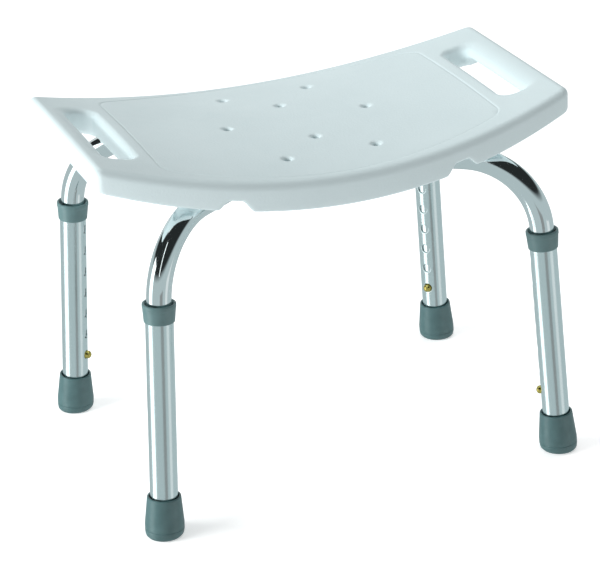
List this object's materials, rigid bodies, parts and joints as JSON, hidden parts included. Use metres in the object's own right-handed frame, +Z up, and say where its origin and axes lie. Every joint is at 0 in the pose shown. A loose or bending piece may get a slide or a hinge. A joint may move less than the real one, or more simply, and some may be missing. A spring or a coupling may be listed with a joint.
{
  "type": "shower stool",
  "caption": "Backless shower stool: a concave moulded seat with two grip slots and drain holes on crossed bent tubes with telescoping splayed legs and rubber feet.",
  "frame": {"origin": "centre of the bounding box's bottom face, on the floor under the middle of the seat", "axes": "+Z up, +X along the seat's length, +Y from the front edge to the back edge"},
  "size_m": [0.514, 0.3648, 0.3893],
  "materials": {
    "seat_plastic": "white polyethylene with a fine orange-peel grain",
    "bright_tube": "bright polished",
    "satin_tube": "satin anodised",
    "grey_plastic": "mid-grey, smooth moulded",
    "grey_rubber": "mid-grey, matt",
    "steel": "zinc plated",
    "spring_steel": "spring steel",
    "brass": "polished, slightly worn"
  },
  "bodies": {
    "frame": {"seat": "seat_plastic", "frame_tube_upper": "bright_tube", "frame_tube_lower": "bright_tube", "cross_bolt": "steel", "cross_washer": "steel", "cross_nut": "steel", "seat_screw_front_left": "steel", "seat_screw_front_right": "steel", "seat_screw_back_right": "steel", "seat_screw_back_left": "steel", "seat_washer_front_left": "steel", "seat_washer_front_right": "steel", "seat_washer_back_right": "steel", "seat_washer_back_left": "steel", "button_spring_front_left": "spring_steel", "button_spring_front_right": "spring_steel", "button_spring_back_right": "spring_steel", "button_spring_back_left": "spring_steel"},
    "leg_front_left": {"leg_tube_front_left": "satin_tube", "collar_front_left": "grey_plastic", "foot_front_left": "grey_rubber", "foot_disc_front_left": "steel"},
    "button_front_left": {"snap_button_front_left": "brass"},
    "leg_front_right": {"leg_tube_front_right": "satin_tube", "collar_front_right": "grey_plastic", "foot_front_right": "grey_rubber", "foot_disc_front_right": "steel"},
    "button_front_right": {"snap_button_front_right": "brass"},
    "leg_back_right": {"leg_tube_back_right": "satin_tube", "collar_back_right": "grey_plastic", "foot_back_right": "grey_rubber", "foot_disc_back_right": "steel"},
    "button_back_right": {"snap_button_back_right": "brass"},
    "leg_back_left": {"leg_tube_back_left": "satin_tube", "collar_back_left": "grey_plastic", "foot_back_left": "grey_rubber", "foot_disc_back_left": "steel"},
    "button_back_left": {"snap_button_back_left": "brass"}
  },
  "joints": [
    {"name": "leg_front_left_extend", "type": "slide", "parent": "frame", "child": "leg_front_left", "axis": [-0.0545, -0.0397, -0.9977], "range_m": [0, 0.1524]},
    {"name": "leg_front_right_extend", "type": "slide", "parent": "frame", "child": "leg_front_right", "axis": [0.0545, -0.0397, -0.9977], "range_m": [0, 0.1524]},
    {"name": "leg_back_right_extend", "type": "slide", "parent": "frame", "child": "leg_back_right", "axis": [0.0545, 0.0397, -0.9977], "range_m": [0, 0.1524]},
    {"name": "leg_back_left_extend", "type": "slide", "parent": "frame", "child": "leg_back_left", "axis": [-0.0545, 0.0397, -0.9977], "range_m": [0, 0.1524]},
    {"name": "button_front_left_press", "type": "slide", "parent": "frame", "child": "button_front_left", "axis": [-0.8067, -0.5871, 0.0674], "range_m": [0, 0.0066], "stiffness_N_per_m": 3000, "deforming": ["button_spring_front_left"]},
    {"name": "button_front_right_press", "type": "slide", "parent": "frame", "child": "button_front_right", "axis": [0.8067, -0.5871, 0.0674], "range_m": [0, 0.0066], "stiffness_N_per_m": 3000, "deforming": ["button_spring_front_right"]},
    {"name": "button_back_right_press", "type": "slide", "parent": "frame", "child": "button_back_right", "axis": [0.8067, 0.5871, 0.0674], "range_m": [0, 0.0066], "stiffness_N_per_m": 3000, "deforming": ["button_spring_back_right"]},
    {"name": "button_back_left_press", "type": "slide", "parent": "frame", "child": "button_back_left", "axis": [-0.8067, 0.5871, 0.0674], "range_m": [0, 0.0066], "stiffness_N_per_m": 3000, "deforming": ["button_spring_back_left"]}
  ]
}
